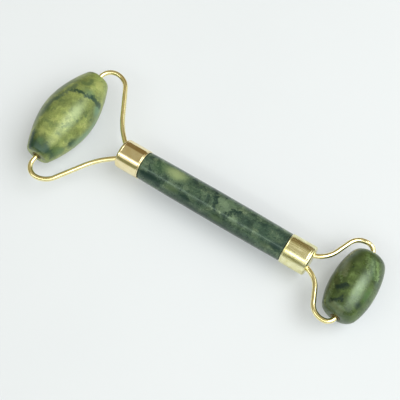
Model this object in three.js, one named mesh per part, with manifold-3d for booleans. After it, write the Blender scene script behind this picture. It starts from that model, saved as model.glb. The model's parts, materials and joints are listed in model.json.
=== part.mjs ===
// Jade face roller: a round jade bar with a brass ferrule on each end. A bent wire yoke comes out of
// each ferrule and carries a barrel-shaped stone, which turns on the wire's two ends.
//
// Millimetres, +Z up. The roller lies on a table at Z = 0 on the bellies of its two stones. The handle
// runs along X with the large stone at -X, and both stones turn about axes parallel to Y.

import * as THREE from 'three';
import { mergeVertices } from 'three/addons/utils/BufferGeometryUtils.js';
import Module from 'manifold-3d';

const wasm = await Module();
wasm.setup();

// ---------------------------------------------------------------- driving dimensions

const assemblyGap = 0.3;

const wireRadius = 1;
const wireSides = 8;
const wireStep = 1.2;

const bar = {
  exposedLength: 62.2,
  middleRadius: 5.85,
  endRadius: 5.6,
  edgeRadius: 0.25,
  spigotRadius: 5.15,
  boreRadius: 3.8,
  boreDepth: 14,
  sides: 32,
  stations: 4,
};

const ferrule = {
  length: 10.2,
  radius: 5.85,
  wall: 0.4,
  shoulderRadius: 0.9,
  rimChamfer: 0.12,
  cupSpace: 1.5,
};

// The part of the yoke inside the handle: two parallel legs joined by a tight U-bend.
const tang = {
  legOffset: 1.5,
  depth: 13.5,
  spreadRadius: 3,
};

const bush = {
  innerRadius: 1.2,
  outerRadius: 1.5,
  length: 6,
  flangeRadius: 2,
  flangeThickness: 0.3,
  flangeSeat: 0.15,
  pinDepth: 5,
};

// The seat is the ring of the flat tip that the bush's flange covers.
const stoneBoreRadius = 1.75;
const stoneSeatRadius = 2.25;
const stoneSides = 40;
const bellyStations = 7;

// Headings are in degrees from the handle's axis, as the wire leaves the ferrule. Looking out from the
// handle, a positive lean or floatShift is to the left. The lean carries both arms sideways over
// leanLength, and floatShift is how far the stone lies along its pins from the middle of the yoke.
const largeEnd = {
  name: 'large',
  stone: {
    radius: 10.5, halfLength: 20.4, tipRadius: 4.8, fullness: 1.86, edgeRadius: 1.8, bellyFlat: 2.5,
  },
  reach: 26.8,
  floatShift: -0.58,
  arm: {
    exitOffset: 2.96, exitRun: 1.44, exitHeading: 38, flareRadius: 32.5, heading: 59,
    hookRadius: 7.6, hookHeading: 0, turnRadius: 4.85, lean: -0.99, leanLength: 18,
  },
};

const smallEnd = {
  name: 'small',
  stone: {
    radius: 8.7, halfLength: 13.8, tipRadius: 5.6, fullness: 2.35, edgeRadius: 4.4, bellyFlat: 2,
  },
  reach: 17.5,
  floatShift: -0.27,
  arm: {
    exitOffset: 2.74, exitRun: 1.1, exitHeading: 23, flareRadius: 9.9, heading: 67.3,
    hookRadius: 5.95, hookHeading: -10, turnRadius: 3.1, lean: 0.56, leanLength: 11,
  },
};

// ---------------------------------------------------------------- positions that follow

const handleHalf = bar.exposedLength / 2 + ferrule.length;
const largeAxisX = -(handleHalf + largeEnd.reach);
const smallAxisX = handleHalf + smallEnd.reach;
const rollerSpacing = smallAxisX - largeAxisX;

// Lying on both bellies, the handle slopes down towards the smaller stone.
const slope = Math.asin((largeEnd.stone.radius - smallEnd.stone.radius) / rollerSpacing);
const handleHeight = largeEnd.stone.radius + largeAxisX * Math.sin(slope);
const middleX = ((largeAxisX + smallAxisX) * Math.cos(slope)
  + smallEnd.stone.radius - largeEnd.stone.radius) / 2;

// The larger yoke is the widest piece, so Y = 0 is its middle. The large end is turned half round.
const handleY = largeEnd.arm.lean;
const largeRollerY = -largeEnd.floatShift;
const smallRollerY = handleY + smallEnd.arm.lean + smallEnd.floatShift;

// ---------------------------------------------------------------- materials

function finish(color, roughness, metalness) {
  return new THREE.MeshStandardMaterial({ color, roughness, metalness });
}

const darkJade = () => finish(0x3d5741, 0.25, 0);
const paleJade = () => finish(0x96a55f, 0.25, 0);
const greenJade = () => finish(0x5f7d3f, 0.25, 0);
const brass = () => finish(0xd8b765, 0.15, 1);
const epoxy = () => finish(0xe6ddbe, 0.5, 0);

// ---------------------------------------------------------------- shared shape helpers

const degrees = THREE.MathUtils.degToRad;

// Points along an arc of a profile, both ends included.
function arcPoints(centre, radius, fromDegrees, toDegrees, steps) {
  const points = [];
  for (let i = 0; i <= steps; i += 1) {
    const angle = degrees(fromDegrees + (toDegrees - fromDegrees) * i / steps);
    points.push([centre[0] + radius * Math.cos(angle), centre[1] + radius * Math.sin(angle)]);
  }
  return points;
}

// Turns a profile of [radius, height] pairs about Y. Outer walls run up the list, inner walls run down.
function turned(profile, segments) {
  const points = profile.map(([radius, height]) => new THREE.Vector2(radius, height));
  return new THREE.LatheGeometry(points, segments);
}

function toSolid(geometry) {
  const bare = geometry.clone();
  bare.deleteAttribute('normal');
  bare.deleteAttribute('uv');
  const merged = mergeVertices(bare, 1e-4);
  const corners = merged.index.array;
  const kept = [];
  for (let i = 0; i < corners.length; i += 3) {
    const [a, b, c] = [corners[i], corners[i + 1], corners[i + 2]];
    if (a !== b && b !== c && c !== a) kept.push(a, b, c);
  }
  const vertProperties = new Float32Array(merged.attributes.position.array);
  return new wasm.Manifold(new wasm.Mesh({ numProp: 3, vertProperties, triVerts: new Uint32Array(kept) }));
}

function toGeometry(solid) {
  const mesh = solid.getMesh();
  const geometry = new THREE.BufferGeometry();
  geometry.setAttribute('position', new THREE.BufferAttribute(mesh.vertProperties, 3));
  geometry.setIndex(new THREE.BufferAttribute(mesh.triVerts, 1));
  geometry.computeVertexNormals();
  return geometry;
}

function cut(geometry, cutter) {
  return toGeometry(toSolid(geometry).subtract(toSolid(cutter)));
}

function named(name, geometry, material) {
  const mesh = new THREE.Mesh(geometry, material);
  mesh.name = name;
  return mesh;
}

// ---------------------------------------------------------------- the bent wire

// A line that runs straight and turns, as a wire former bends it. A turn to the left is positive.
class WireLine extends THREE.Path {
  constructor(x, y, headingDegrees) {
    super();
    this.moveTo(x, y);
    this.heading = degrees(headingDegrees);
  }

  run(length) {
    const { x, y } = this.currentPoint;
    this.lineTo(x + length * Math.cos(this.heading), y + length * Math.sin(this.heading));
    return this;
  }

  turnTo(headingDegrees, radius) {
    const target = degrees(headingDegrees);
    const side = Math.sign(target - this.heading);
    const { x, y } = this.currentPoint;
    const centreX = x - side * radius * Math.sin(this.heading);
    const centreY = y + side * radius * Math.cos(this.heading);
    const quarter = side * Math.PI / 2;
    this.absarc(centreX, centreY, radius, this.heading - quarter, target - quarter, side < 0);
    this.heading = target;
    return this;
  }
}

// Half of a yoke's centreline before it leans, from the middle of the U-bend to the tip of the left
// pin. The origin is the centre of the ferrule's end face, and +X points away from the handle.
function armLine({ arm, reach, stone }) {
  const exit = degrees(arm.exitHeading);
  const straight = degrees(arm.heading);
  const hook = degrees(arm.hookHeading);

  const spreadRise = tang.spreadRadius * (1 - Math.cos(exit));
  const innerRun = (arm.exitOffset - tang.legOffset - spreadRise) / Math.sin(exit);
  const legEnd = innerRun * Math.cos(exit) + tang.spreadRadius * Math.sin(exit);
  const legRun = tang.depth - tang.legOffset - legEnd;

  const bendReach = arm.exitRun * Math.cos(exit)
    + arm.flareRadius * (Math.sin(straight) - Math.sin(exit))
    + arm.hookRadius * (Math.sin(straight) - Math.sin(hook))
    + arm.turnRadius * (Math.sin(hook) + 1);
  const armRun = (reach - bendReach) / Math.cos(straight);

  const line = new WireLine(-tang.depth, 0, 90)
    .turnTo(0, tang.legOffset)
    .run(legRun)
    .turnTo(arm.exitHeading, tang.spreadRadius)
    .run(innerRun + arm.exitRun)
    .turnTo(arm.heading, arm.flareRadius)
    .run(armRun)
    .turnTo(arm.hookHeading, arm.hookRadius)
    .turnTo(-90, arm.turnRadius);
  const pinTip = stone.halfLength - bush.pinDepth;
  return line.run(line.currentPoint.y - pinTip);
}

// The whole wire: the arm's line from the right pin back to the U-bend, and out again to the left pin.
class YokeCurve extends THREE.Curve {
  constructor(line, { lean, leanLength }) {
    super();
    this.line = line;
    this.lean = lean;
    this.leanLength = leanLength;
  }

  getPoint(t, target = new THREE.Vector3()) {
    const side = t < 0.5 ? -1 : 1;
    const { x, y } = this.line.getPoint(Math.abs(2 * t - 1));
    const sideways = this.lean * THREE.MathUtils.smoothstep(x, 0, this.leanLength);
    return target.set(x, side * y + sideways, 0);
  }
}

function yokeGeometry(end, radius) {
  const line = armLine(end);
  const section = new THREE.Shape();
  section.absarc(0, 0, radius, 0, 2 * Math.PI, false);
  return new THREE.ExtrudeGeometry(section, {
    extrudePath: new YokeCurve(line, end.arm),
    steps: 2 * Math.round(line.getLength() / wireStep),
    curveSegments: wireSides / 2,
    bevelEnabled: false,
  });
}

// ---------------------------------------------------------------- handle

// Radius of the bar at a distance from its middle: a shallow parabola.
function barRadiusAt(distance) {
  const share = distance / (bar.exposedLength / 2);
  return bar.middleRadius - (bar.middleRadius - bar.endRadius) * share * share;
}

function handleBar() {
  const shoulder = bar.exposedLength / 2 - assemblyGap;
  const tip = handleHalf - ferrule.wall - ferrule.cupSpace;
  const edge = shoulder - bar.edgeRadius;

  const upperHalf = [];
  for (let i = 1; i < bar.stations; i += 1) {
    const height = edge * i / bar.stations;
    upperHalf.push([barRadiusAt(height), height]);
  }
  const rim = barRadiusAt(edge) - bar.edgeRadius;
  upperHalf.push(...arcPoints([rim, edge], bar.edgeRadius, 0, 90, 2));
  upperHalf.push([bar.spigotRadius, shoulder], [bar.spigotRadius, tip], [bar.boreRadius, tip]);
  upperHalf.push([bar.boreRadius, tip - bar.boreDepth], [0, tip - bar.boreDepth]);

  const lowerHalf = upperHalf.map(([radius, height]) => [radius, -height]).reverse();
  const profile = [...lowerHalf, [bar.middleRadius, 0], ...upperHalf];
  return named('handle_bar', turned(profile, bar.sides).rotateZ(-Math.PI / 2), darkJade());
}

// The closed end of the cup is at the origin and its open rim is at -X.
function ferruleCup(end) {
  const inner = ferrule.radius - ferrule.wall;
  const shoulder = ferrule.radius - ferrule.shoulderRadius;
  const profile = [
    [0, -ferrule.wall],
    [inner - ferrule.wall, -ferrule.wall],
    [inner, -2 * ferrule.wall],
    [inner, -ferrule.length],
    [ferrule.radius - ferrule.rimChamfer, -ferrule.length],
    [ferrule.radius, -ferrule.length + ferrule.rimChamfer],
    ...arcPoints([shoulder, -ferrule.shoulderRadius], ferrule.shoulderRadius, 0, 90, 4),
    [0, 0],
  ];
  const cup = turned(profile, 40).rotateZ(-Math.PI / 2);
  const wireHoles = yokeGeometry(end, wireRadius + assemblyGap);
  return named(`${end.name}_ferrule`, cut(cup, wireHoles), brass());
}

// Epoxy: a head that fills the bottom of the cup and a stem down the bar's bore, moulded round the wire.
function yokeAdhesive(end) {
  const headTop = -ferrule.wall - assemblyGap;
  const headBottom = -ferrule.wall - ferrule.cupSpace + assemblyGap;
  const stemRadius = bar.boreRadius - assemblyGap;
  const stemBottom = -ferrule.wall - ferrule.cupSpace - bar.boreDepth + assemblyGap;
  const profile = [
    [0, stemBottom],
    [stemRadius, stemBottom],
    [stemRadius, headBottom],
    [bar.spigotRadius - assemblyGap, headBottom],
    [bar.spigotRadius - assemblyGap, headTop],
    [0, headTop],
  ];
  const plug = turned(profile, 32).rotateZ(-Math.PI / 2);
  const wireSpace = yokeGeometry(end, wireRadius + assemblyGap);
  return named(`${end.name}_yoke_adhesive`, cut(plug, wireSpace), epoxy());
}

function yoke(end) {
  return named(`${end.name}_yoke`, yokeGeometry(end, wireRadius), brass());
}

function handleEnd(end) {
  const group = new THREE.Group();
  group.add(ferruleCup(end), yokeAdhesive(end), yoke(end));
  return group;
}

// ---------------------------------------------------------------- rollers

// The barrel's outline is a power curve from the belly towards the tip. Its edge is a round that leaves
// the curve at a tangent and ends on the flat tip. The belly is straight between its two flat marks.
function barrelOutline({ radius, halfLength, tipRadius, fullness, edgeRadius, bellyFlat }) {
  const drop = radius - tipRadius;
  const radiusAt = (y) => radius - drop * (y / halfLength) ** fullness;
  const slopeAt = (y) => Math.atan(drop * fullness * (y / halfLength) ** (fullness - 1) / halfLength);

  let edge = halfLength - edgeRadius;
  for (let i = 0; i < 20; i += 1) edge = halfLength - edgeRadius * (1 - Math.sin(slopeAt(edge)));

  const outline = [[radius, bellyFlat]];
  for (let i = 1; i < bellyStations; i += 1) {
    const height = bellyFlat + (edge - bellyFlat) * i / bellyStations;
    outline.push([radiusAt(height), height]);
  }
  const slopeAngle = slopeAt(edge);
  const centre = [radiusAt(edge) - edgeRadius * Math.cos(slopeAngle), halfLength - edgeRadius];
  const edgeSteps = edgeRadius > 1 ? 4 : 2;
  outline.push(...arcPoints(centre, edgeRadius, THREE.MathUtils.radToDeg(slopeAngle), 90, edgeSteps));
  return outline;
}

// A barrel with flat tips and a bore from tip to tip, about Y. Its sides are tangent to the round
// barrel, and the stone rests on one of them.
function rollerStone(end, material) {
  const { halfLength } = end.stone;
  const halfSide = Math.PI / stoneSides;
  const upperHalf = barrelOutline(end.stone).map(([r, height]) => [r / Math.cos(halfSide), height]);
  upperHalf.push([stoneSeatRadius, halfLength], [stoneBoreRadius, halfLength]);

  const lowerHalf = upperHalf.map(([r, height]) => [r, -height]).reverse();
  const profile = [...lowerHalf, ...upperHalf, [stoneBoreRadius, -halfLength]];
  const barrel = turned(profile, stoneSides).rotateY(halfSide);
  return named(`${end.name}_roller_stone`, barrel, material);
}

// A flanged eyelet in one end of the stone's bore, with a running fit on the wire's pin.
function rollerBush(end, place, side) {
  const flangeTop = bush.flangeSeat + bush.flangeThickness;
  const profile = [
    [bush.innerRadius, flangeTop],
    [bush.innerRadius, -bush.length],
    [bush.outerRadius, -bush.length],
    [bush.outerRadius, bush.flangeSeat],
    [bush.flangeRadius, bush.flangeSeat],
    [bush.flangeRadius, flangeTop],
    [bush.innerRadius, flangeTop],
  ];
  const mesh = named(`${end.name}_roller_bush_${place}`, turned(profile, 24), brass());
  mesh.position.y = side * end.stone.halfLength;
  mesh.rotation.x = side > 0 ? 0 : Math.PI;
  return mesh;
}

function roller(end, material) {
  const group = new THREE.Group();
  group.add(rollerStone(end, material), rollerBush(end, 'front', -1), rollerBush(end, 'back', 1));
  return group;
}

// ---------------------------------------------------------------- assembly

const handle = new THREE.Group();
handle.position.set(-middleX, handleY, handleHeight);
handle.rotation.y = slope;
handle.add(handleBar());

const largeHandleEnd = handleEnd(largeEnd);
largeHandleEnd.position.x = -handleHalf;
largeHandleEnd.rotation.z = Math.PI;
const smallHandleEnd = handleEnd(smallEnd);
smallHandleEnd.position.x = handleHalf;
handle.add(largeHandleEnd, smallHandleEnd);

const largeRoller = roller(largeEnd, paleJade());
const largeRollerX = largeAxisX * Math.cos(slope) - middleX;
largeRoller.position.set(largeRollerX, largeRollerY, largeEnd.stone.radius);
const smallRoller = roller(smallEnd, greenJade());
const smallRollerX = smallAxisX * Math.cos(slope) - middleX;
smallRoller.position.set(smallRollerX, smallRollerY, smallEnd.stone.radius);

const group = new THREE.Group();
group.add(handle, largeRoller, smallRoller);

export default group;
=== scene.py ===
# Jade face roller on a pale studio floor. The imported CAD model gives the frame, the roller axes and
# the moving bodies. Every visible piece is built here as a fine mesh in the place of its CAD node.

import json
import math
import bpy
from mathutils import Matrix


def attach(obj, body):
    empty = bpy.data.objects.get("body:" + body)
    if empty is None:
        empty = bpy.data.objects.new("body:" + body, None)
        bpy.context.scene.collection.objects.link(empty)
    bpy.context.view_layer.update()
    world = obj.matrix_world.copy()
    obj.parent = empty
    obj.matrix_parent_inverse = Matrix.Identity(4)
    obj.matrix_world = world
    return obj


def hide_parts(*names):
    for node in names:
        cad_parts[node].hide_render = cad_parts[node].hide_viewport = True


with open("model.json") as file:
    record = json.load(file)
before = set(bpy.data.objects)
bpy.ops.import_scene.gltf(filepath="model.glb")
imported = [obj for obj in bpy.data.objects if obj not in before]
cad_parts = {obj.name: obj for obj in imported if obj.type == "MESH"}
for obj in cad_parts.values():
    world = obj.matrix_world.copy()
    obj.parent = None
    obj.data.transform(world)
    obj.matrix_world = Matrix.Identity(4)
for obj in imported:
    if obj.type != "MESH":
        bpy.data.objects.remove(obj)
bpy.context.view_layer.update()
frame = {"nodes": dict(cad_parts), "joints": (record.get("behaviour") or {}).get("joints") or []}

from types import SimpleNamespace as Values

import bmesh
import bpy
import numpy as np
from mathutils import Matrix, Vector, noise

MM = 0.001

# Points of one mesh that lie closer than this, in metres, are joined.
PROFILE_WELD = 1e-7
CUT_WELD = 1e-6

# ---------------------------------------------------------------- sizes, in millimetres and degrees

WIRE_RADIUS = 0.98
WIRE_STEP = 0.15
TANG = Values(leg_offset=1.5, depth=13.5, spread_radius=3.0)
BAR = Values(
    exposed=62.2, middle_radius=5.85, end_radius=5.6, edge_radius=0.18,
    spigot_radius=5.15, bore_radius=3.8, bore_depth=14.0, gap=0.3,
)
FERRULE = Values(
    length=10.2, radius=5.85, wall=0.4, shoulder=0.9, lip=0.3, cup_space=1.5,
    face_ring=3.0, hole_gap=0.1,
)
BUSH = Values(
    inner_radius=1.2, outer_radius=1.5, length=6.0,
    flange_radius=1.85, flange=0.16, seat=0.01, pin_depth=5.0,
)
STONE_BORE_RADIUS = 1.75
STONE_LIP_RADIUS = 0.2
STONE_TIP_RING = 0.8

# A rolled line round a ferrule: its width, its depth near each end of the cup, and its place there.
GROOVE = Values(width=0.32, rim_depth=0.12, neck_depth=0.07, neck_gap=0.25)
PLAIN_WALL = Values(from_rim=1.2, from_neck=1.6)

# How deep an uneven surface goes inwards, and over what length. A ring round a stone's bore stays true.
STONE_BROAD = Values(depth=0.09, length=9)
STONE_FINE = Values(depth=0.012, length=3)
BAR_UNEVEN = Values(depth=0.045, length=7)
WIRE_UNEVEN = Values(depth=0.015, length=4)
STONE_TRUE_RING = 1.0

# The bites of the forming tool lie on the small yoke's left hook, past from_y and within end_zone of
# the roller's axis.
PLIER = Values(from_y=11, end_zone=4.5, fade=1.5, depth=0.11, pitch=0.62)

# How many flat sides stand for a round, the fewest steps in a wire's bend, and the angles past which an
# edge is drawn sharp.
WIRE_SIDES = 24
WIRE_BEND_STEPS = 4
STONE_SIDES = 160
HANDLE_SIDES = 128
BUSH_SIDES = 48
SHARP_ANGLE = 35
CUT_SHARP_ANGLE = 40

# Looking out from the handle, a positive lean or float_shift is to the left. The lean carries a yoke's
# arms sideways, and float_shift is how far the stone lies along its pins from the yoke's middle.
LARGE = Values(
    name="large", reach=26.8, float_shift=-0.58, lean=-0.99, lean_length=18.0,
    radius=10.5, half_length=20.4, tip_radius=4.8, fullness=1.86, edge_radius=1.8,
    exit_offset=2.96, exit_run=1.44, exit_heading=38, flare_radius=32.5, heading=59,
    hook_radius=7.6, hook_heading=0, turn_radius=4.85,
)
SMALL = Values(
    name="small", reach=17.5, float_shift=-0.27, lean=0.56, lean_length=11.0,
    radius=8.7, half_length=13.8, tip_radius=5.6, fullness=2.35, edge_radius=4.4,
    exit_offset=2.74, exit_run=1.1, exit_heading=23, flare_radius=9.9, heading=67.3,
    hook_radius=5.95, hook_heading=-10, turn_radius=3.1,
)

# ---------------------------------------------------------------- places, from the frame

pins = {joint["child"]: Vector(joint["pos_m"]) for joint in frame["joints"]}
large_axis = pins["large_roller"]
small_axis = pins["small_roller"]
along = Vector((small_axis.x - large_axis.x, 0, small_axis.z - large_axis.z)).normalized()
tilt = Matrix.Rotation(math.atan2(-along.z, along.x), 4, "Y")

# The large end is turned half round, so its left is towards -Y.
handle_y = large_axis.y + (LARGE.float_shift + LARGE.lean) * MM
large_face = Vector((large_axis.x, handle_y, large_axis.z)) + along * LARGE.reach * MM
small_face = Vector((small_axis.x, handle_y, small_axis.z)) - along * SMALL.reach * MM
bar_place = Matrix.Translation((large_face + small_face) / 2) @ tilt
large_end_place = Matrix.Translation(large_face) @ tilt @ Matrix.Rotation(math.pi, 4, "Z")
small_end_place = Matrix.Translation(small_face) @ tilt

# Lays what was turned about Y along X.
laid = Matrix.Rotation(-math.pi / 2, 4, "Z")

# ---------------------------------------------------------------- mesh helpers


def arc(centre, radius, start, stop, steps):
    """Points on an arc of a profile, both ends included, with the angles in degrees."""
    angles = np.radians(np.linspace(start, stop, steps + 1))
    return [(centre[0] + radius * math.cos(a), centre[1] + radius * math.sin(a)) for a in angles]


def ring_faces(rings, sides, closed):
    """Quads between neighbouring rings of points."""
    faces = []
    for i in range(rings if closed else rings - 1):
        here = i * sides
        there = (i + 1) % rings * sides
        for j in range(sides):
            k = (j + 1) % sides
            faces.append((here + j, here + k, there + k, there + j))
    return faces


def lathe(profile, sides, closed=False):
    """Points and faces of (radius, height) pairs turned about Y."""
    points = []
    for radius, height in profile:
        for j in range(sides):
            angle = 2 * math.pi * j / sides
            points.append(Vector((radius * math.sin(angle), height, radius * math.cos(angle))))
    return points, ring_faces(len(profile), sides, closed)


def new_object(name, data):
    made = bpy.data.objects.new(name, data)
    bpy.context.scene.collection.objects.link(made)
    return made


def new_mesh(name, points, faces):
    """A mesh in metres, from points in millimetres."""
    mesh = bpy.data.meshes.new(name)
    mesh.from_pydata([p * MM for p in points], [], faces)
    return mesh


def shade(mesh, sharp_angle):
    """Smooth shading, apart from edges that turn by more than an angle in degrees."""
    mesh.shade_smooth()
    mesh.set_sharp_from_angle(angle=math.radians(sharp_angle))


def piece(name, points, faces, place, material, body, node):
    """A shaded mesh, from points in millimetres, that rides on a body and stands for a CAD node."""
    mesh = new_mesh(name, points, faces)
    edit = bmesh.new()
    edit.from_mesh(mesh)
    bmesh.ops.remove_doubles(edit, verts=edit.verts, dist=PROFILE_WELD)
    bmesh.ops.recalc_face_normals(edit, faces=edit.faces)
    edit.to_mesh(mesh)
    edit.free()
    shade(mesh, SHARP_ANGLE)
    mesh.materials.append(material)
    made = new_object(name, mesh)
    made.matrix_world = place
    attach(made, body)
    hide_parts(node)
    return made


# ---------------------------------------------------------------- shader helpers


def linear(level):
    """A display level from 0 to 255 as a linear level, by the sRGB curve."""
    share = level / 255
    return ((share + 0.055) / 1.055) ** 2.4 if share > 0.04045 else share / 12.92


def colour(red, green, blue):
    """A display colour, each level from 0 to 255, as the linear colour that a shader takes."""
    return (linear(red), linear(green), linear(blue), 1.0)


def grey(level):
    """A factor that lightens or darkens a colour evenly."""
    return (level, level, level, 1.0)


class Graph:
    """A node tree that is written as calls. A call's input may be a socket or a plain value."""

    def __init__(self, tree):
        self.tree = tree
        tree.nodes.clear()

    def add(self, kind, inputs=None, **settings):
        node = self.tree.nodes.new(kind)
        for key, value in settings.items():
            setattr(node, key, value)
        for key, value in (inputs or {}).items():
            socket = node.inputs[key]
            if isinstance(value, bpy.types.NodeSocket):
                self.tree.links.new(value, socket)
            else:
                socket.default_value = value
        return node

    def maths(self, operation, a, b=0.0, clamp=False):
        node = self.add("ShaderNodeMath", {0: a, 1: b}, operation=operation, use_clamp=clamp)
        return node.outputs[0]

    def vectors(self, operation, a, b=(0, 0, 0), output=0):
        node = self.add("ShaderNodeVectorMath", {0: a, 1: b}, operation=operation)
        return node.outputs[output]

    def spread(self, value, low, high, to_low=0.0, to_high=1.0):
        """A smooth step of value from low..high to to_low..to_high."""
        inputs = {"Value": value, 1: low, 2: high, 3: to_low, 4: to_high}
        return self.add("ShaderNodeMapRange", inputs, interpolation_type="SMOOTHSTEP").outputs[0]

    def noise(self, vector, scale, detail=4.0, roughness=0.5, distortion=0.0, output="Fac"):
        inputs = {
            "Vector": vector, "Scale": scale, "Detail": detail,
            "Roughness": roughness, "Distortion": distortion,
        }
        return self.add("ShaderNodeTexNoise", inputs).outputs[output]

    def drift(self, vector, scale, detail, reach):
        """A noise that carries a place up to half of reach away on each axis."""
        wander = self.noise(vector, scale, detail, roughness=0.55, output="Color")
        centred = self.vectors("SUBTRACT", wander, (0.5, 0.5, 0.5))
        return self.vectors("MULTIPLY", centred, (reach, reach, reach))

    def segment(self, place, start, stop):
        """Distance from a place to a straight segment."""
        line = Vector(stop) - Vector(start)
        offset = self.vectors("SUBTRACT", place, start)
        dot = self.vectors("DOT_PRODUCT", offset, line, output=1)
        share = self.maths("MULTIPLY", dot, 1 / line.length_squared, clamp=True)
        nearest = self.add("ShaderNodeVectorMath", {0: line, "Scale": share}, operation="SCALE")
        gap = self.vectors("SUBTRACT", offset, nearest.outputs[0])
        return self.vectors("LENGTH", gap, output=1)

    def ramp(self, value, stops):
        node = self.add("ShaderNodeValToRGB", {"Fac": value})
        elements = node.color_ramp.elements
        while len(elements) < len(stops):
            elements.new(0.5)
        for element, (position, stop) in zip(elements, stops):
            element.position = position
            element.color = stop
        return node.outputs["Color"]

    def mix(self, share, a, b, blend="MIX"):
        inputs = {0: share, 6: a, 7: b}
        return self.add("ShaderNodeMix", inputs, data_type="RGBA", blend_type=blend).outputs[2]

    def millimetres(self):
        """The piece's own coordinates, in millimetres, so that a pattern turns with its piece."""
        own = self.add("ShaderNodeTexCoord").outputs["Object"]
        return self.vectors("MULTIPLY", own, (1 / MM, 1 / MM, 1 / MM))

    def bump(self, height, distance_mm, strength=1.0):
        inputs = {"Height": height, "Distance": distance_mm * MM, "Strength": strength}
        return self.add("ShaderNodeBump", inputs).outputs["Normal"]

    def surface(self, base, roughness, normal, **constants):
        """The surface shader. Each constant is set on the socket of that name."""
        inputs = {"Base Color": base, "Roughness": roughness, "Normal": normal}
        shader = self.add("ShaderNodeBsdfPrincipled", inputs)
        for key, value in constants.items():
            shader.inputs[key.replace("_", " ")].default_value = value
        self.add("ShaderNodeOutputMaterial", {"Surface": shader.outputs["BSDF"]})


def new_material(name):
    material = bpy.data.materials.new(name)
    material.use_nodes = True
    return material, Graph(material.node_tree)


# ---------------------------------------------------------------- jade

# The share of a vein's width that has its full tint, and how softly a fleck ends.
VEIN_CORE = 0.25
FLECK_EDGE = 0.09


def spot(at, size, tint, core=0.3, strength=1.0):
    """A ragged ellipsoid of another colour, in the stone's own millimetres.

    core is the share of it that has the full tint, and strength is how much of the tint shows.
    """
    return Values(at=at, size=size, tint=tint, core=core, strength=strength)


def vein(path, width, tint, strength=1.0):
    """A ragged line of another colour through the stone, from point to point of its path."""
    return Values(path=path, width=width, tint=tint, strength=strength)


def spot_mask(graph, place, mark):
    offset = graph.vectors("SUBTRACT", place, mark.at)
    scaled = graph.vectors("DIVIDE", offset, mark.size)
    distance = graph.vectors("LENGTH", scaled, output=1)
    return graph.spread(distance, 1.0, mark.core, 0.0, mark.strength)


def vein_mask(graph, place, mark):
    distance = graph.segment(place, mark.path[0], mark.path[1])
    for start, stop in zip(mark.path[1:], mark.path[2:]):
        distance = graph.maths("MINIMUM", distance, graph.segment(place, start, stop))
    return graph.spread(distance, mark.width, mark.width * VEIN_CORE, 0.0, mark.strength)


def jade(name, clouds, cloud_size, mottling, grain, flecks, marks, polish, seed):
    """Polished jade: drifting clouds of colour, mottling, fine grain, dark flecks, and its own marks.

    cloud_size is in millimetres, and the noise scales are in features per millimetre.
    """
    material, graph = new_material(name)
    place = graph.millimetres()
    shifted = graph.vectors("ADD", place, (seed, seed * 2.3, seed * 3.1))

    broad = graph.drift(shifted, scale=0.28, detail=3, reach=3.0)
    fine = graph.drift(shifted, scale=1.1, detail=4, reach=1.8)
    drifted = graph.vectors("ADD", graph.vectors("ADD", shifted, broad), fine)
    swayed = graph.vectors("ADD", place, graph.vectors("MULTIPLY", broad, (0.5, 0.5, 0.5)))
    ragged = graph.vectors("ADD", swayed, fine)
    jagged = graph.vectors("ADD", ragged, fine)

    cloud = graph.noise(drifted, scale=1 / cloud_size, detail=6, roughness=0.62)
    base = graph.ramp(cloud, clouds)

    mottle = graph.noise(drifted, scale=0.42, detail=6, roughness=0.66)
    mottled = graph.ramp(mottle, [
        (0.30, grey(mottling.dark)), (0.5, grey(1)), (0.70, grey(mottling.light)),
    ])
    base = graph.mix(1.0, base, mottled, "MULTIPLY")

    stretched = graph.vectors("MULTIPLY", drifted, grain.stretch)
    grains = graph.noise(stretched, scale=2.0, detail=5, roughness=0.7)
    grainy = graph.ramp(grains, [(0.34, grey(grain.dark)), (0.66, grey(grain.light))])
    base = graph.mix(1.0, base, grainy, "MULTIPLY")

    fleck = graph.noise(drifted, flecks.scale, detail=6, roughness=0.7)
    fleck_mask = graph.spread(fleck, flecks.level, flecks.level + FLECK_EDGE, 0.0, flecks.strength)
    base = graph.mix(fleck_mask, base, flecks.tint)

    for mark in marks:
        is_vein = hasattr(mark, "path")
        mask = vein_mask(graph, jagged, mark) if is_vein else spot_mask(graph, ragged, mark)
        base = graph.mix(mask, base, mark.tint)

    wear = graph.noise(shifted, scale=0.5, detail=4, roughness=0.6)
    roughness = graph.spread(wear, low=0.3, high=0.7, to_low=polish.smooth, to_high=polish.worn)
    lapping = graph.noise(shifted, scale=1.4, detail=4, roughness=0.6)
    normal = graph.bump(lapping, distance_mm=0.02, strength=polish.relief)
    graph.surface(
        base, roughness, normal,
        IOR=1.61, Specular_IOR_Level=polish.specular, Specular_Tint=(0.80, 1.0, 0.84, 1),
        Subsurface_Weight=0.1, Subsurface_Scale=0.0012, Subsurface_Radius=(0.6, 1.0, 0.5),
    )
    return material


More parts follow.
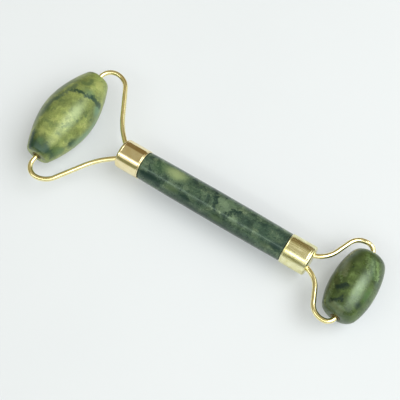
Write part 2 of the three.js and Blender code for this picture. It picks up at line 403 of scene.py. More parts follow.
def large_jade():
    """Yellow-green jade. Its marks' X is positive towards the handle, and their Y towards the back."""
    deep = colour(26, 56, 44)
    moss = colour(74, 94, 58)
    teal = colour(98, 130, 104)
    slate = colour(66, 86, 66)
    clouds = [
        (0.30, colour(84, 98, 54)),
        (0.43, colour(112, 125, 70)),
        (0.55, colour(137, 149, 84)),
        (0.68, colour(164, 172, 106)),
    ]
    flecks = Values(scale=0.6, level=0.60, strength=0.75, tint=colour(92, 108, 64))
    marks = [
        # The dark crack across the back half, in a teal cloud.
        spot((8.9, 7.0, 2.6), (2.4, 4.2, 3.4), teal, 0.2, 0.9),
        spot((4.2, 9.6, 7.4), (5.6, 3.0, 3.8), colour(84, 110, 74), 0.1, 0.85),
        vein([(-1.4, 6.4, 9.9), (2.2, 8.2, 9.2), (4.3, 7.7, 8.5), (6.1, 9.1, 7.0)], 1.3, deep, 0.95),
        vein([(6.1, 9.1, 7.0), (7.6, 9.0, 5.2), (8.9, 9.4, 2.6)], 1.8, deep, 0.9),
        # The darker outer side, with a slate line along it.
        spot((-6.8, 7.4, 7.4), (4.2, 9.0, 4.2), colour(80, 98, 60), 0.2, 0.85),
        vein([(-1.6, 9.0, 9.0), (-3.1, 3.4, 9.8), (-3.9, 0.8, 9.7)], 1.8, slate, 0.8),
        vein([(-4.4, 0.2, 9.4), (-5.3, -1.8, 9.0), (-5.8, -4.2, 8.4)], 2.2, slate, 0.85),
        spot((-5.6, -6.4, 8.2), (2.6, 3.2, 2.6), slate, 0.1, 0.75),
        spot((-7.6, -8.0, 5.4), (2.8, 7.6, 3.8), colour(80, 98, 58), 0.2, 0.85),
        # Moss near the back tip, dots on the handle's side, and a line across the front half.
        spot((1.7, 14.4, 7.3), (1.9, 2.8, 2.4), moss, 0.1, 0.8),
        vein([(-0.6, 12.0, 8.4), (1.8, 13.0, 7.8)], 1.4, moss, 0.7),
        spot((7.3, -2.4, 7.4), (0.9, 0.9, 1.1), moss, 0.2, 0.9),
        spot((8.5, 1.6, 6.1), (0.9, 1.0, 1.2), moss, 0.2, 0.9),
        spot((9.8, 2.0, 3.4), (1.0, 1.0, 1.2), moss, 0.2, 0.9),
        vein([(-3.4, -8.6, 8.8), (-0.6, -9.4, 9.1), (1.4, -9.8, 8.9)], 1.3, moss, 0.6),
        # The dark front tip and its veins.
        spot((0.4, -17.8, 5.2), (8.0, 5.6, 5.8), colour(38, 60, 26), 0.2, 0.95),
        spot((6.2, -16.4, 2.4), (4.0, 4.6, 4.4), colour(58, 86, 42), 0.1, 0.8),
        vein([(2.6, -17.0, 5.6), (5.2, -17.6, 3.4), (6.2, -18.6, 1.0)], 1.5, deep, 0.7),
        vein([(-4.4, -15.0, 6.0), (-3.4, -17.4, 5.2), (-2.6, -20.2, 4.0)], 2.0, deep, 0.95),
        vein([(-0.9, -18.6, 5.6), (1.3, -19.3, 5.2), (3.9, -18.4, 4.3)], 1.9, deep, 0.85),
        spot((0.0, -16.6, 6.8), (2.3, 1.7, 2.0), colour(72, 104, 62), 0.1, 0.6),
        # The handle's side, low down: two patches of colour, and a painted reflection along the edge.
        spot((8.9, -9.6, 1.8), (2.4, 3.4, 2.7), colour(40, 68, 46), 0.2, 0.95),
        spot((7.4, -14.6, 1.4), (2.4, 3.2, 3.0), colour(84, 112, 70), 0.2, 0.8),
        # Painted reflection: the pale teal band along the handle's side.
        spot((9.6, -2.0, -0.6), (2.4, 15.0, 3.4), colour(108, 138, 108), 0.2, 0.85),
        # Painted highlights: the three pale patches on the upper side. A pale patch of colour near the
        # back tip, and two short lines between the patches.
        spot((-1.4, -13.2, 7.8), (2.2, 2.6, 2.4), colour(160, 168, 98), 0.1, 0.6),
        spot((4.4, -12.6, 6.8), (2.4, 2.2, 2.6), colour(160, 168, 96), 0.1, 0.65),
        # The largest painted highlight, on the middle of the top.
        spot((5.4, 0.4, 8.9), (2.6, 5.6, 3.0), colour(160, 174, 112), 0.1, 0.6),
        spot((4.6, 16.2, 5.2), (3.2, 2.8, 3.4), colour(152, 158, 92), 0.1, 0.7),
        vein([(4.6, -7.8, 8.6), (6.8, -5.2, 7.6)], 1.1, moss, 0.6),
        vein([(-2.0, -3.6, 10.0), (-4.2, -5.2, 9.0)], 1.2, moss, 0.6),
    ]
    # Small dark mottles all over the upper side.
    mottles = [
        (-1.8, 0.3, 10.3), (-4.5, -4.7, 9.1), (-3.6, -9.4, 8.4), (-3.0, -14.2, 7.0), (2.3, -8.7, 9.0),
        (4.6, -11.1, 7.3), (7.6, -10.8, 4.3), (2.4, -3.6, 10.0), (1.3, 15.6, 6.9), (7.4, 11.4, 4.4),
    ]
    marks += [spot(at, (1.7, 1.4, 1.7), moss, 0.0, 0.65) for at in mottles]
    return jade(
        "large_stone_jade", clouds, cloud_size=7.0, mottling=Values(dark=0.68, light=1.2),
        grain=Values(stretch=(1.0, 1.0, 1.0), dark=0.74, light=1.2), flecks=flecks, marks=marks,
        polish=Values(smooth=0.28, worn=0.36, relief=0.35, specular=0.5), seed=3.0,
    )


def small_jade():
    """Mid-green jade with dark spots. Its marks' X is negative towards the handle."""
    deep = colour(16, 36, 28)
    ashen = colour(98, 108, 80)
    clouds = [
        (0.30, colour(42, 56, 28)),
        (0.43, colour(57, 73, 35)),
        (0.56, colour(72, 90, 45)),
        (0.70, colour(98, 118, 68)),
    ]
    flecks = Values(scale=0.5, level=0.60, strength=0.8, tint=colour(60, 84, 50))
    marks = [
        # A painted highlight on top, and ashen and olive patches on the handle's side.
        spot((1.7, -2.6, 8.4), (2.0, 6.2, 3.0), colour(124, 142, 108), 0.0, 0.7),
        spot((-5.6, 2.4, 6.4), (2.6, 5.0, 3.4), colour(88, 96, 62), 0.2, 0.8),
        vein([(-6.4, 4.0, 5.6), (-5.2, 1.2, 6.8), (-4.6, -0.8, 7.2)], 1.5, colour(104, 114, 84), 0.75),
        spot((-6.4, -5.2, 5.4), (2.6, 5.0, 3.4), colour(62, 72, 40), 0.3, 0.8),
        # The dark marks, and an ashen line beside the front one.
        vein([(-4.8, -6.2, 6.9), (-3.4, -5.6, 7.6), (-2.4, -4.4, 8.0)], 1.6, deep),
        spot((-3.4, -5.2, 7.6), (1.1, 1.3, 1.3), deep, 0.4),
        vein([(-4.2, -11.2, 5.5), (-2.6, -10.4, 6.5), (-1.3, -9.1, 7.3)], 1.4, deep),
        vein([(-3.3, -12.2, 5.5), (-1.6, -12.8, 5.4), (0.6, -13.0, 5.2)], 1.9, ashen, 0.7),
        spot((4.9, -8.0, 6.1), (2.1, 2.6, 2.4), deep, 0.1, 0.9),
        spot((-3.3, 3.1, 7.9), (0.6, 0.6, 0.8), deep, 0.3),
        # The back half's greens, and a paler one in front on the outer side.
        spot((-3.6, 7.2, 7.0), (3.6, 4.2, 2.8), colour(56, 70, 38), 0.2, 0.8),
        vein([(1.2, 9.6, 7.1), (3.2, 6.6, 7.6), (4.6, 3.6, 7.3)], 1.6, colour(58, 84, 48), 0.7),
        vein([(3.4, 9.6, 6.4), (5.3, 6.2, 6.4), (6.3, 3.6, 5.9)], 1.2, colour(106, 132, 82), 0.7),
        vein([(-0.6, 10.4, 7.1), (1.2, 7.4, 8.0)], 1.0, colour(98, 122, 74), 0.6),
        spot((6.9, 2.6, 5.2), (1.5, 2.2, 2.0), colour(60, 78, 58), 0.2, 0.85),
        spot((5.9, -3.4, 6.3), (2.2, 4.6, 2.4), colour(70, 100, 58), 0.1, 0.7),
    ]
    # Fine pale streaks, on the outer side of the back half and on the handle's side.
    streaks = [
        [(0.2, 9.6, 7.2), (2.8, 7.2, 7.6), (5.0, 3.8, 6.9)],
        [(1.8, 10.2, 6.4), (4.6, 7.4, 6.4), (6.6, 3.6, 5.4)],
        [(-0.8, 8.8, 7.8), (1.0, 6.4, 8.2), (2.4, 3.6, 8.3)],
        [(-7.2, -3.0, 4.6), (-5.6, -7.0, 5.9)],
        [(-6.6, -6.2, 4.8), (-4.9, -9.6, 5.7)],
        [(-6.2, -0.4, 5.9), (-4.4, -3.2, 7.2)],
    ]
    marks += [vein(path, 0.7, colour(116, 138, 92), 0.5) for path in streaks]
    return jade(
        "small_stone_jade", clouds, cloud_size=5.0, mottling=Values(dark=0.76, light=1.2),
        grain=Values(stretch=(1.7, 0.55, 1.7), dark=0.74, light=1.22), flecks=flecks, marks=marks,
        polish=Values(smooth=0.26, worn=0.36, relief=0.35, specular=0.5), seed=11.0,
    )


def bar_jade():
    """Dark green jade. Its marks' X is positive towards the small stone."""
    deep = colour(28, 48, 44)
    pine = colour(52, 74, 58)
    olive = colour(137, 152, 110)
    shadow = colour(20, 28, 24)
    clouds = [
        (0.30, colour(41, 57, 51)),
        (0.43, colour(58, 77, 66)),
        (0.56, colour(81, 100, 81)),
        (0.70, colour(117, 133, 105)),
    ]
    flecks = Values(scale=0.75, level=0.56, strength=0.9, tint=deep)
    marks = [
        # Two broad clouds, and the olive patch near the large stone's end.
        spot((22.0, 0.0, 2.0), (11.0, 8.0, 8.0), colour(56, 78, 66), 0.1, 0.75),
        spot((-8.0, 0.0, 4.0), (6.0, 5.0, 4.0), pine, 0.1, 0.7),
        spot((-23.6, 1.0, 5.4), (5.0, 4.0, 2.8), colour(88, 112, 80), 0.1, 0.75),
        spot((-17.4, 1.4, 5.4), (7.6, 4.0, 3.2), colour(104, 124, 90), 0.1, 0.9),
        spot((-17.2, 1.3, 5.5), (5.6, 3.2, 2.8), olive, 0.1, 0.95),
        spot((-16.0, -4.2, 4.0), (4.4, 1.8, 2.4), colour(78, 96, 70), 0.2, 0.8),
        # The pale streaks past the middle.
        vein([(2.8, 1.4, 5.7), (5.6, -0.8, 5.8), (9.4, -2.8, 5.1)], 2.4, colour(104, 124, 100), 0.75),
        vein([(5.0, 2.8, 5.1), (8.2, 1.4, 5.7)], 1.6, colour(94, 116, 92), 0.7),
        # Dark lines across the top.
        vein([(-25.8, 3.2, 4.9), (-24.2, -0.2, 5.8), (-22.6, -0.8, 5.8)], 1.3, pine, 0.9),
        vein([(-10.6, 3.6, 4.6), (-8.2, 1.4, 5.6), (-4.6, 1.8, 5.5)], 1.6, deep, 0.7),
        vein([(-1.6, 4.0, 4.2), (0.4, 0.8, 5.8), (1.9, -2.8, 5.2)], 1.4, deep, 0.9),
        vein([(6.6, -3.4, 4.7), (8.6, -0.4, 5.8), (11.0, 0.4, 5.8)], 1.4, deep, 0.9),
        # A long band of painted shade along the front side, and dark and olive patches of colour on it.
        spot((0.0, -5.9, 0.6), (33.0, 2.2, 3.6), colour(40, 56, 48), 0.2, 0.75),
        spot((-26.6, -4.6, 4.0), (8.5, 2.2, 3.0), deep, 0.3, 0.95),
        spot((-9.8, -4.8, 3.6), (4.4, 1.8, 2.8), deep, 0.2, 0.9),
        spot((3.8, -5.2, 2.8), (5.0, 1.6, 2.4), colour(80, 100, 66), 0.1, 0.6),
        # Spots towards the small stone's end.
        spot((15.2, -1.4, 5.6), (2.0, 1.5, 1.8), deep, 0.1, 0.8),
        spot((20.4, 1.2, 5.6), (2.6, 1.3, 1.8), deep, 0.1, 0.8),
        spot((27.8, -3.4, 4.6), (3.8, 2.2, 2.4), colour(34, 54, 52), 0.2, 0.95),
        spot((24.2, -4.8, 3.2), (3.0, 1.3, 2.0), colour(88, 102, 74), 0.1, 0.6),
        # Painted shade on the bar's ends inside the ferrules: the rims in the gap and the spigots.
        vein([(31.6, 0, 0), (41.0, 0, 0)], 6.2, shadow),
        vein([(-41.0, 0, 0), (-31.6, 0, 0)], 6.2, shadow),
    ]
    return jade(
        "bar_jade", clouds, cloud_size=4.0, mottling=Values(dark=0.6, light=1.26),
        grain=Values(stretch=(1.0, 1.0, 1.0), dark=0.62, light=1.32), flecks=flecks, marks=marks,
        polish=Values(smooth=0.10, worn=0.16, relief=0.4, specular=0.26), seed=23.0,
    )


# ---------------------------------------------------------------- metal and adhesive

# How much rougher than its smoothest places a gold surface gets.
GILT_WEAR = 0.1


def gilt(name, pale, warm, smooth, streaks, seed):
    """Polished gold plate.

    smooth is its lowest roughness, and streaks says how many faint polishing marks there are in a
    millimetre along each of the piece's own axes.
    """
    material, graph = new_material(name)
    place = graph.vectors("ADD", graph.millimetres(), (seed, seed, seed))
    tone = graph.noise(place, scale=0.35, detail=3, roughness=0.5)
    base = graph.ramp(tone, [(0.35, warm), (0.65, pale)])
    brushed = graph.noise(graph.vectors("MULTIPLY", place, streaks), scale=1.0, detail=3, roughness=0.6)
    roughness = graph.spread(brushed, low=0.3, high=0.75, to_low=smooth, to_high=smooth + GILT_WEAR)
    normal = graph.bump(brushed, distance_mm=0.004, strength=0.6)
    graph.surface(base, roughness, normal, Metallic=1.0)
    return material


def epoxy():
    """Cured clear-amber adhesive with small bubbles."""
    material, graph = new_material("epoxy")
    place = graph.millimetres()
    haze = graph.noise(place, scale=0.8, detail=4, roughness=0.6)
    base = graph.ramp(haze, [(0.35, colour(196, 172, 112)), (0.65, colour(226, 208, 156))])
    bubbles = graph.noise(place, scale=3.0, detail=2, roughness=0.5)
    roughness = graph.spread(bubbles, low=0.4, high=0.7, to_low=0.25, to_high=0.5)
    normal = graph.bump(bubbles, distance_mm=0.03, strength=0.5)
    graph.surface(base, roughness, normal, IOR=1.55, Coat_Weight=0.3)
    return material


# ---------------------------------------------------------------- stones and their bushes


def barrel_radius(end, height):
    return end.radius - (end.radius - end.tip_radius) * (abs(height) / end.half_length) ** end.fullness


def barrel_slope(end, height):
    share = (height / end.half_length) ** (end.fullness - 1)
    return math.atan((end.radius - end.tip_radius) * end.fullness * share / end.half_length)


def barrel_outline(end):
    """(radius, height) pairs from the belly to the bore's lip: the power curve, the round, the tip.

    The curve meets the round where both have the same slope, which a few repeats settle.
    """
    edge = end.half_length - end.edge_radius
    for _ in range(20):
        edge = end.half_length - end.edge_radius * (1 - math.sin(barrel_slope(end, edge)))
    outline = [(barrel_radius(end, y), y) for y in np.linspace(0, edge, num=36)]
    slope = barrel_slope(end, edge)
    centre = (
        barrel_radius(end, edge) - end.edge_radius * math.cos(slope),
        end.half_length - end.edge_radius,
    )
    outline += arc(centre, end.edge_radius, math.degrees(slope), 90, steps=16)[1:]
    outline += [(STONE_BORE_RADIUS + STONE_TIP_RING, end.half_length)]
    lip = (STONE_BORE_RADIUS + STONE_LIP_RADIUS, end.half_length - STONE_LIP_RADIUS)
    return outline + arc(lip, STONE_LIP_RADIUS, 90, 180, steps=5)


def unevenness(kind, place):
    """How deep an uneven surface lies below its true shape."""
    return kind.depth * (1 + noise.noise(place))


def drawn_in(point, depth):
    """A point moved towards the Y axis."""
    share = 1 - depth / math.hypot(point.x, point.z)
    return Vector((point.x * share, point.y, point.z * share))


def hand_polished(point, seed):
    """Moves a point of a stone inwards a little, as a stone shaped by hand is never quite round."""
    if math.hypot(point.x, point.z) < STONE_BORE_RADIUS + STONE_TRUE_RING:
        return point
    broad = unevenness(STONE_BROAD, point / STONE_BROAD.length + Vector((seed, 0, 0)))
    fine = unevenness(STONE_FINE, point / STONE_FINE.length + Vector((0, seed, 0)))
    return drawn_in(point, broad + fine)


def stone(end, material, place, body, seed):
    upper = barrel_outline(end)
    lower = [(radius, -height) for radius, height in reversed(upper[1:])]
    points, faces = lathe(lower + upper, STONE_SIDES, closed=True)
    points = [hand_polished(point, seed) for point in points]
    name = f"{end.name}_stone"
    piece(name, points, faces, place, material, body,
          f"{end.name}_roller_stone")


def bush(end, side, material, place, body):
    """A flanged eyelet: a tube in the bore with a rounded flange on the stone's tip."""
    top = BUSH.seat + BUSH.flange
    round_radius = BUSH.flange / 2
    profile = [(BUSH.inner_radius, -BUSH.length), (BUSH.outer_radius, -BUSH.length)]
    profile += [(BUSH.outer_radius, BUSH.seat)]
    rim = (BUSH.flange_radius - round_radius, BUSH.seat + round_radius)
    profile += arc(rim, round_radius, -90, 90, steps=8)
    mouth = (BUSH.inner_radius + round_radius, top - round_radius)
    profile += arc(mouth, round_radius, 90, 180, steps=5)
    points, faces = lathe(profile, BUSH_SIDES, closed=True)
    outward = Matrix.Rotation(0 if side > 0 else math.pi, 4, "X")
    seat = Matrix.Translation((0, side * end.half_length * MM, 0))
    where = "back" if side > 0 else "front"
    name = f"{end.name}_bush_{where}"
    piece(name, points, faces, place @ seat @ outward, material, body,
          f"{end.name}_roller_bush_{where}")


# ---------------------------------------------------------------- handle


def bar_radius(distance):
    share = distance / (BAR.exposed / 2)
    return BAR.middle_radius - (BAR.middle_radius - BAR.end_radius) * share * share


def bar(material):
    """The jade bar with its two spigots and bores, turned about Y and then laid along X."""
    shoulder = BAR.exposed / 2 - BAR.gap
    edge = shoulder - BAR.edge_radius
    tip = BAR.exposed / 2 + FERRULE.length - FERRULE.wall - FERRULE.cup_space
    upper = [(bar_radius(y), y) for y in np.linspace(0, edge, num=40)]
    upper += arc((bar_radius(edge) - BAR.edge_radius, edge), BAR.edge_radius, 0, 90, steps=8)[1:]
    upper += [(BAR.spigot_radius, shoulder), (BAR.spigot_radius, tip), (BAR.bore_radius, tip)]
    upper += [(BAR.bore_radius, tip - BAR.bore_depth), (0, tip - BAR.bore_depth)]
    lower = [(radius, -height) for radius, height in reversed(upper[1:])]
    points, faces = lathe(lower + upper, HANDLE_SIDES)
    skin = (BAR.spigot_radius + BAR.end_radius) / 2
    uneven = []
    for point in points:
        if math.hypot(point.x, point.z) > skin:
            point = drawn_in(point, unevenness(BAR_UNEVEN, point / BAR_UNEVEN.length))
        uneven.append(laid @ point)
    piece("jade_bar", uneven, faces, bar_place, material, "handle", "handle_bar")


def groove(height, depth):
    """A rolled line round a cup, as part of its outline."""
    half = GROOVE.width / 2
    return [
        (FERRULE.radius, height - half), (FERRULE.radius - 0.6 * depth, height - 0.5 * half),
        (FERRULE.radius - depth, height), (FERRULE.radius - 0.6 * depth, height + 0.5 * half),
        (FERRULE.radius, height + half),
    ]


def ferrule_cup(end, place, material):
    """A drawn cup: rounded closed end at the origin, open rim at -X, pierced for the wire's legs."""
    inner = FERRULE.radius - FERRULE.wall
    shoulder = (FERRULE.radius - FERRULE.shoulder, -FERRULE.shoulder)
    lip = (FERRULE.radius - FERRULE.lip, -FERRULE.length + FERRULE.lip)
    wall = np.linspace(-FERRULE.length + PLAIN_WALL.from_rim, -PLAIN_WALL.from_neck, num=12)
    profile = [(0, -FERRULE.wall), (inner - FERRULE.wall, -FERRULE.wall)]
    profile += [(inner, -2 * FERRULE.wall), (inner, -FERRULE.length)]
    profile += arc(lip, FERRULE.lip, -90, 60, steps=10)
    profile += groove(lip[1] + FERRULE.lip, GROOVE.rim_depth)
    profile += [(FERRULE.radius, y) for y in wall]
    profile += groove(-FERRULE.shoulder - GROOVE.neck_gap, GROOVE.neck_depth)
    profile += arc(shoulder, FERRULE.shoulder, 0, 90, steps=14)
    profile += [(FERRULE.face_ring, 0), (0, 0)]
    points, faces = lathe(profile, HANDLE_SIDES)
    name = f"{end.name}_cup"
    made = piece(name, [laid @ p for p in points], faces, place, material, "handle",
                 f"{end.name}_ferrule")
    cut_wire_holes(made, end, place)


def cut_wire_holes(cup, end, place):
    """Cuts the yoke's own path, a little wider than the wire, out of the cup."""
    points, faces = tube(yoke_line(end), lambda _: WIRE_RADIUS + FERRULE.hole_gap, WIRE_SIDES)
    cutter = new_object("cutter", new_mesh("cutter", points, faces))
    cutter.matrix_world = place
    modifier = cup.modifiers.new("holes", "BOOLEAN")
    modifier.object = cutter
    modifier.operation = "DIFFERENCE"
    modifier.solver = "EXACT"
    bpy.context.view_layer.update()
    graph = bpy.context.evaluated_depsgraph_get()
    cut_mesh = bpy.data.meshes.new_from_object(cup.evaluated_get(graph))
    cup.modifiers.clear()
    cup.data = cut_mesh
    # The cut leaves points that almost meet and faces of many corners, which would become slivers.
    edit = bmesh.new()
    edit.from_mesh(cut_mesh)
    bmesh.ops.remove_doubles(edit, verts=edit.verts, dist=CUT_WELD)
    bmesh.ops.triangulate(edit, faces=[face for face in edit.faces if len(face.verts) > 4])
    bmesh.ops.dissolve_degenerate(edit, edges=edit.edges, dist=CUT_WELD)
    edit.to_mesh(cut_mesh)
    edit.free()
    shade(cut_mesh, CUT_SHARP_ANGLE)
    bpy.data.objects.remove(cutter)


# ---------------------------------------------------------------- yokes


class WireLine:
    """A line that runs straight and turns, as a wire former bends it. A left turn is positive."""

    def __init__(self, x, y, heading):
        self.points = [Vector((x, y, 0))]
        self.heading = math.radians(heading)

    def run(self, length):
        start = self.points[-1]
        ahead = Vector((math.cos(self.heading), math.sin(self.heading), 0))
        steps = max(1, math.ceil(length / WIRE_STEP))
        self.points += [start + ahead * length * i / steps for i in range(1, steps + 1)]
        return self

    def turn_to(self, heading, radius):
        target = math.radians(heading)
        side = math.copysign(1, target - self.heading)
        start = self.points[-1]
        to_centre = Vector((-math.sin(self.heading), math.cos(self.heading), 0)) * side * radius
        centre = start + to_centre
        length = abs(target - self.heading) * radius
        steps = max(WIRE_BEND_STEPS, math.ceil(length / WIRE_STEP))
        for i in range(1, steps + 1):
            swing = Matrix.Rotation((target - self.heading) * i / steps, 3, "Z")
            self.points.append(centre - swing @ to_centre)
        self.heading = target
        return self


def arm_line(end):
    """Half of a yoke's centreline, from the middle of its inner U-bend to the tip of the +Y pin."""
    leave = math.radians(end.exit_heading)
    straight = math.radians(end.heading)
    hook = math.radians(end.hook_heading)
    spread_rise = TANG.spread_radius * (1 - math.cos(leave))
    inner_run = (end.exit_offset - TANG.leg_offset - spread_rise) / math.sin(leave)
    leg_end = inner_run * math.cos(leave) + TANG.spread_radius * math.sin(leave)
    bend_reach = (
        end.exit_run * math.cos(leave)
        + end.flare_radius * (math.sin(straight) - math.sin(leave))
        + end.hook_radius * (math.sin(straight) - math.sin(hook))
        + end.turn_radius * (math.sin(hook) + 1)
    )
    line = WireLine(-TANG.depth, 0, 90)
    line.turn_to(0, TANG.leg_offset).run(TANG.depth - TANG.leg_offset - leg_end)
    line.turn_to(end.exit_heading, TANG.spread_radius).run(inner_run + end.exit_run)
    line.turn_to(end.heading, end.flare_radius)
    line.run((end.reach - bend_reach) / math.cos(straight))
    line.turn_to(end.hook_heading, end.hook_radius).turn_to(-90, end.turn_radius)
    return line.run(line.points[-1].y - end.half_length + BUSH.pin_depth).points


def leant(end, point):
    """A point of a yoke's line, carried sideways by the lean of its arms."""
    share = min(max(point.x / end.lean_length, 0), 1)
    return point + Vector((0, end.lean * share * share * (3 - 2 * share), 0))


def yoke_line(end):
    left = arm_line(end)
    right = [Vector((p.x, -p.y, 0)) for p in reversed(left[1:])]
    return [leant(end, point) for point in right + left]


def tube(line, radius_at, sides):
    """Points and faces of a closed round tube along a flat line. radius_at takes a point's number.

    The rings are turned by half a side, so that no corner lies in a plane of the cup that it cuts.
    """
    points = []
    last = len(line) - 1
    for i, centre in enumerate(line):
        ahead = (line[min(i + 1, last)] - line[max(i - 1, 0)]).normalized()
        across = Vector((-ahead.y, ahead.x, 0))
        for j in range(sides):
            angle = 2 * math.pi * (j + 0.5) / sides
            spoke = across * math.cos(angle) + Vector((0, 0, 1)) * math.sin(angle)
            points.append(centre + spoke * radius_at(i))
    faces = ring_faces(len(line), sides, closed=False)
    faces.append(tuple(range(sides - 1, -1, -1)))
    faces.append(tuple(range(last * sides, (last + 1) * sides)))
    return points, faces


def plier_marks(end, point):
    """Depth of the bites that the forming tool left on the small yoke's left hook."""
    zone = end.reach - PLIER.end_zone
    if end is not SMALL or point.y < PLIER.from_y or point.x < zone:
        return 0
    fade = min(1, (point.x - zone) / PLIER.fade)
    turn = 2 * math.pi * (point.x - point.y) / PLIER.pitch
    return PLIER.depth * fade * (0.5 + 0.5 * math.sin(turn))


def yoke(end, place, material):
    line = yoke_line(end)

    def radius_at(i):
        worn = unevenness(WIRE_UNEVEN, line[i] / WIRE_UNEVEN.length)
        return WIRE_RADIUS - worn - plier_marks(end, line[i])

    points, faces = tube(line, radius_at, WIRE_SIDES)
    piece(f"{end.name}_wire", points, faces, place, material, "handle",
          f"{end.name}_yoke")


# ---------------------------------------------------------------- build the roller

wire_gold = gilt(
    "gilt_wire", pale=colour(252, 243, 194), warm=colour(245, 231, 168),
    smooth=0.08, streaks=(0.5, 0.5, 3.0), seed=5.0,
)
cup_golds = {
    "large": gilt(
        "gilt_brass", pale=colour(250, 238, 196), warm=colour(244, 228, 178),
        smooth=0.05, streaks=(0.25, 2, 2), seed=9.0,
    ),
    "small": gilt(
        "worn_brass", pale=colour(246, 243, 200), warm=colour(230, 224, 166),
        smooth=0.2, streaks=(0.2, 3, 3), seed=4.0,
    ),
}
# Dark aged brass, darkened further as painted shade in the holes round the wires.
bush_gold = gilt(
    "bush_brass", pale=colour(118, 108, 72), warm=colour(98, 88, 56),
    smooth=0.4, streaks=(1.0, 1.0, 1.0), seed=2.0,
)

bar(bar_jade())
for end, end_place in ((LARGE, large_end_place), (SMALL, small_end_place)):
    ferrule_cup(end, end_place, cup_golds[end.name])
    yoke(end, end_place, wire_gold)

for end, axis, material, seed in (
    (LARGE, large_axis, large_jade(), 1.7),
    (SMALL, small_axis, small_jade(), 6.2),
):
    roller_body = f"{end.name}_roller"
    roller_place = Matrix.Translation(axis)
    stone(end, material, roller_place, roller_body, seed)
    for side in (-1, 1):
        bush(end, side, bush_gold, roller_place, roller_body)

glue = epoxy()
for end in (LARGE, SMALL):
    adhesive = frame["nodes"][f"{end.name}_yoke_adhesive"]
    adhesive.material_slots[0].link = "OBJECT"
    adhesive.material_slots[0].material = glue

# ---------------------------------------------------------------- studio, in metres and degrees

FLOOR_HALF = 3.0
FLOOR_TONES = ((0.49, 0.515, 0.54, 1), (0.505, 0.53, 0.555, 1))
FLOOR_GLOW = 0.245
FLOOR_GLOW_COLOUR = (0.88, 0.93, 1.0, 1)
KEY_DIRECTION = Vector((0.54, 0.16, 0.83))
KEY_DISTANCE = 0.8
KEY_SIZE = 0.6
KEY_RADIANCE = 3.1

# An end of the room begins where a direction's X, moved by END_SHIFT, is as far from zero as the first
# of END_EDGES, and it is full at the second.
END_SHIFT = 0.2
END_EDGES = (0.38, 0.55)

VIEW_TARGET = Vector((-0.05, -1.84, 9.62)) * MM
VIEW_AZIMUTH = 32.42
VIEW_ELEVATION = 64.69
VIEW_DISTANCE = 320.46 * MM
LENS_MM = 77.2
SENSOR_MM = 36
CLIP_NEAR = 0.01
CLIP_FAR = 20


def floor():
    half = FLOOR_HALF
    mesh = bpy.data.meshes.new("floor")
    corners = [(-half, -half, 0), (half, -half, 0), (half, half, 0), (-half, half, 0)]
    mesh.from_pydata(corners, [], [(0, 1, 2, 3)])
    material, graph = new_material("floor_paper")
    tone = graph.noise(graph.millimetres(), scale=0.01, detail=2, roughness=0.5)
    base = graph.ramp(tone, [(0.3, FLOOR_TONES[0]), (0.7, FLOOR_TONES[1])])
    normal = graph.bump(tone, distance_mm=0.01, strength=0.1)
    graph.surface(
        base, 0.8, normal,
        Specular_IOR_Level=0.1, Emission_Color=FLOOR_GLOW_COLOUR, Emission_Strength=FLOOR_GLOW,
    )
    mesh.materials.append(material)
    new_object("floor", mesh)


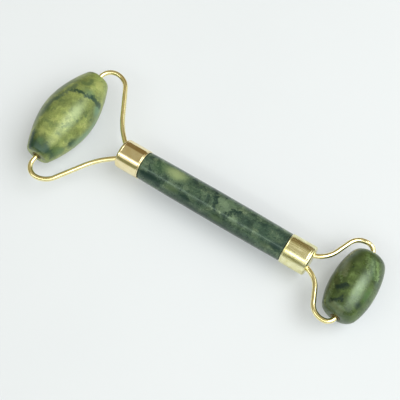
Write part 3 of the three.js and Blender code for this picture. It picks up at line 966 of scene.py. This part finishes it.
def studio_sky():
    """A room round the X axis: dim wall behind, pale ceiling, bright strip and soft light in front.

    The end towards -X is dim, and the end towards +X is bright above the floor.
    """
    world = bpy.data.worlds.new("studio")
    bpy.context.scene.world = world
    world.use_nodes = True
    graph = Graph(world.node_tree)
    direction = graph.add("ShaderNodeTexCoord").outputs["Generated"]
    split = graph.add("ShaderNodeSeparateXYZ", {0: direction})
    forward = graph.maths("MULTIPLY", split.outputs["Y"], -1.0)
    angle = graph.maths("ARCTAN2", forward, split.outputs["Z"])
    share = graph.maths("ADD", graph.maths("DIVIDE", angle, 2 * math.pi), 0.5)

    def at(degrees):
        """The ramp's place for an angle from straight up, positive towards -Y."""
        return 0.5 + degrees / 360

    wall = (0.22, 0.165, 0.09, 1)
    ceiling = (0.44, 0.40, 0.29, 1)
    strip = (4.2, 4.3, 4.0, 1)
    soft = (1.05, 1.03, 0.96, 1)
    low = (0.24, 0.25, 0.15, 1)
    ground = (0.84, 0.86, 0.85, 1)
    around = graph.ramp(share, [
        (at(-96), ground), (at(-90), wall), (at(-47), wall), (at(-40), ceiling), (at(26), ceiling),
        (at(31), soft), (at(37), soft), (at(38), strip), (at(44), strip), (at(45), soft), (at(55), soft),
        (at(62), low), (at(82), low), (at(92), ground),
    ])
    height = split.outputs["Z"]
    left_end = graph.ramp(height, [
        (0.0, (0.16, 0.14, 0.07, 1)), (0.35, (0.20, 0.18, 0.09, 1)), (0.6, (0.42, 0.40, 0.28, 1)),
    ])
    right_end = graph.ramp(height, [
        (0.0, (0.16, 0.15, 0.08, 1)), (0.3, (0.3, 0.3, 0.2, 1)), (0.5, (1.9, 1.9, 1.8, 1)),
    ])
    side = graph.maths("ADD", split.outputs["X"], END_SHIFT)
    near, far = END_EDGES
    room = graph.mix(graph.spread(side, -near, -far), around, left_end)
    room = graph.mix(graph.spread(side, near, far), room, right_end)
    background = graph.add("ShaderNodeBackground", {"Color": room, "Strength": 1.0})
    graph.add("ShaderNodeOutputWorld", {"Surface": background.outputs[0]})


def key_light():
    light = bpy.data.lights.new("key", "AREA")
    light.shape = "SQUARE"
    light.size = KEY_SIZE
    light.energy = KEY_RADIANCE * math.pi * KEY_SIZE**2
    made = new_object("key", light)
    toward = KEY_DIRECTION.normalized()
    made.location = toward * KEY_DISTANCE
    made.rotation_mode = "QUATERNION"
    made.rotation_quaternion = toward.to_track_quat("Z", "Y")


def camera():
    azimuth = math.radians(VIEW_AZIMUTH)
    elevation = math.radians(VIEW_ELEVATION)
    back = Vector((
        math.sin(azimuth) * math.cos(elevation),
        -math.cos(azimuth) * math.cos(elevation),
        math.sin(elevation),
    ))
    data = bpy.data.cameras.new("camera")
    data.lens = LENS_MM
    data.sensor_width = SENSOR_MM
    data.clip_start = CLIP_NEAR
    data.clip_end = CLIP_FAR
    made = new_object("camera", data)
    made.location = VIEW_TARGET + back * VIEW_DISTANCE
    made.rotation_mode = "QUATERNION"
    made.rotation_quaternion = (-back).to_track_quat("-Z", "Y")
    bpy.context.scene.camera = made


floor()
studio_sky()
key_light()
camera()
bpy.context.scene.view_settings.view_transform = "Standard"
